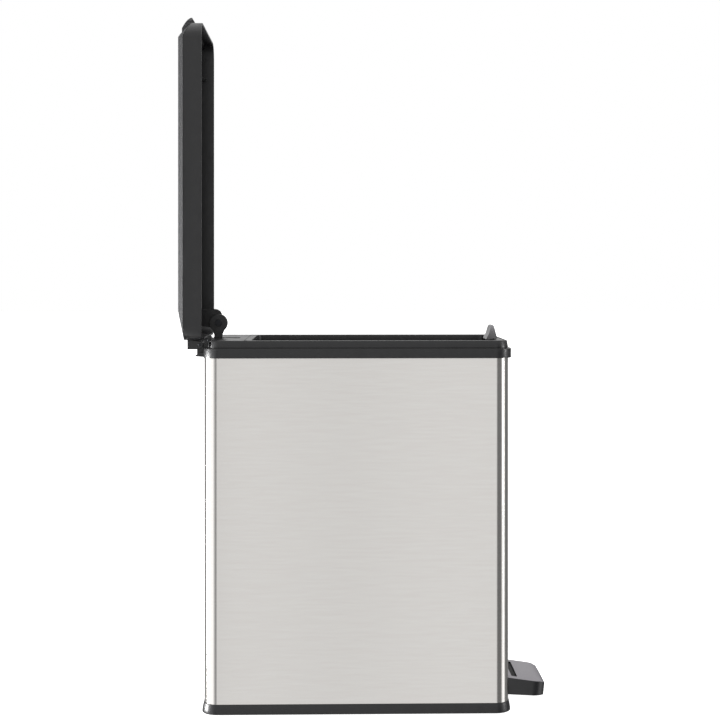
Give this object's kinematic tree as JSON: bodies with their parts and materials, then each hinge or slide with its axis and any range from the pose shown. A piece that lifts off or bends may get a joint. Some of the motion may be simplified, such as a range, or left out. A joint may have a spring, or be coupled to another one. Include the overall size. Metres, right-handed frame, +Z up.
{
  "type": "pedal trash can",
  "caption": "Slim rectangular step bin: brushed steel shell, black rim, hinged lid driven by a pedal lever and push rod, lift-out bucket and loose bag ring.",
  "frame": {"origin": "on the floor, under the middle of the open bin's outline", "axes": "+Z up, -Y to the front where the pedal is, X across, along the hinge axis"},
  "size_m": [0.1636, 0.4065, 0.7608],
  "materials": {
    "brushed_shell": "satin",
    "black_plastic": "satin",
    "grained_plastic": "fine grain",
    "grey_plastic": "matte",
    "plain_steel": "plain",
    "black_rubber": "matte"
  },
  "bodies": {
    "body": {"steel_shell": "brushed_shell", "rim": "black_plastic", "base_ring": "black_plastic", "base_plate": "grey_plastic", "channel_cover": "grey_plastic", "pivot_bracket_left": "grey_plastic", "pivot_bracket_right": "grey_plastic", "pivot_shaft": "plain_steel", "hinge_pin_left": "plain_steel", "hinge_pin_right": "plain_steel", "foot_1": "black_rubber", "foot_2": "black_rubber", "foot_3": "black_rubber", "foot_4": "black_rubber", "base_screw_1": "plain_steel", "base_screw_2": "plain_steel", "base_screw_3": "plain_steel", "base_screw_4": "plain_steel"},
    "lid": {"lid_frame": "black_plastic", "lid_panel": "grained_plastic", "lid_ear": "black_plastic", "crank_pin": "plain_steel", "lid_buffer_left": "black_rubber", "lid_buffer_right": "black_rubber", "ear_screw_1": "plain_steel", "ear_screw_2": "plain_steel", "lid_screw_1": "plain_steel", "lid_screw_2": "plain_steel", "lid_screw_3": "plain_steel", "lid_screw_4": "plain_steel"},
    "push_rod": {"rod_head": "black_plastic", "push_rod": "plain_steel", "rod_shoe": "black_plastic"},
    "pedal": {"pedal_lever": "plain_steel", "pedal_pad": "black_plastic", "pedal_screw_1": "plain_steel", "pedal_screw_2": "plain_steel"},
    "bucket": {"inner_bucket": "grey_plastic"},
    "bag_ring": {"bag_ring": "black_plastic"}
  },
  "joints": [
    {"name": "lid_hinge", "type": "hinge", "parent": "body", "child": "lid", "pos_m": [0, 0.178, 0.399], "axis": [-1, 0, 0], "range_deg": [-90, 0]},
    {"name": "rod_pivot", "type": "hinge", "parent": "lid", "child": "push_rod", "pos_m": [0, 0.1625, 0.4203], "axis": [1, 0, 0], "range_deg": [-90, 0]},
    {"name": "pedal_pivot", "type": "hinge", "parent": "body", "child": "pedal", "pos_m": [0, -0.09, 0.024], "axis": [1, 0, 0], "range_deg": [-8.4, 0]},
    {"name": "bucket_lift", "type": "slide", "parent": "body", "child": "bucket", "axis": [0, 0, 1], "range_m": [0, 0.4]},
    {"name": "ring_lift", "type": "slide", "parent": "bucket", "child": "bag_ring", "axis": [0, 0, 1], "range_m": [0, 0.05]}
  ],
  "couplings": [
    {"joint": "rod_pivot", "follows": "lid_hinge", "ratio": 1},
    {"joint": "pedal_pivot", "follows": "lid_hinge", "ratio": 0.0925}
  ]
}
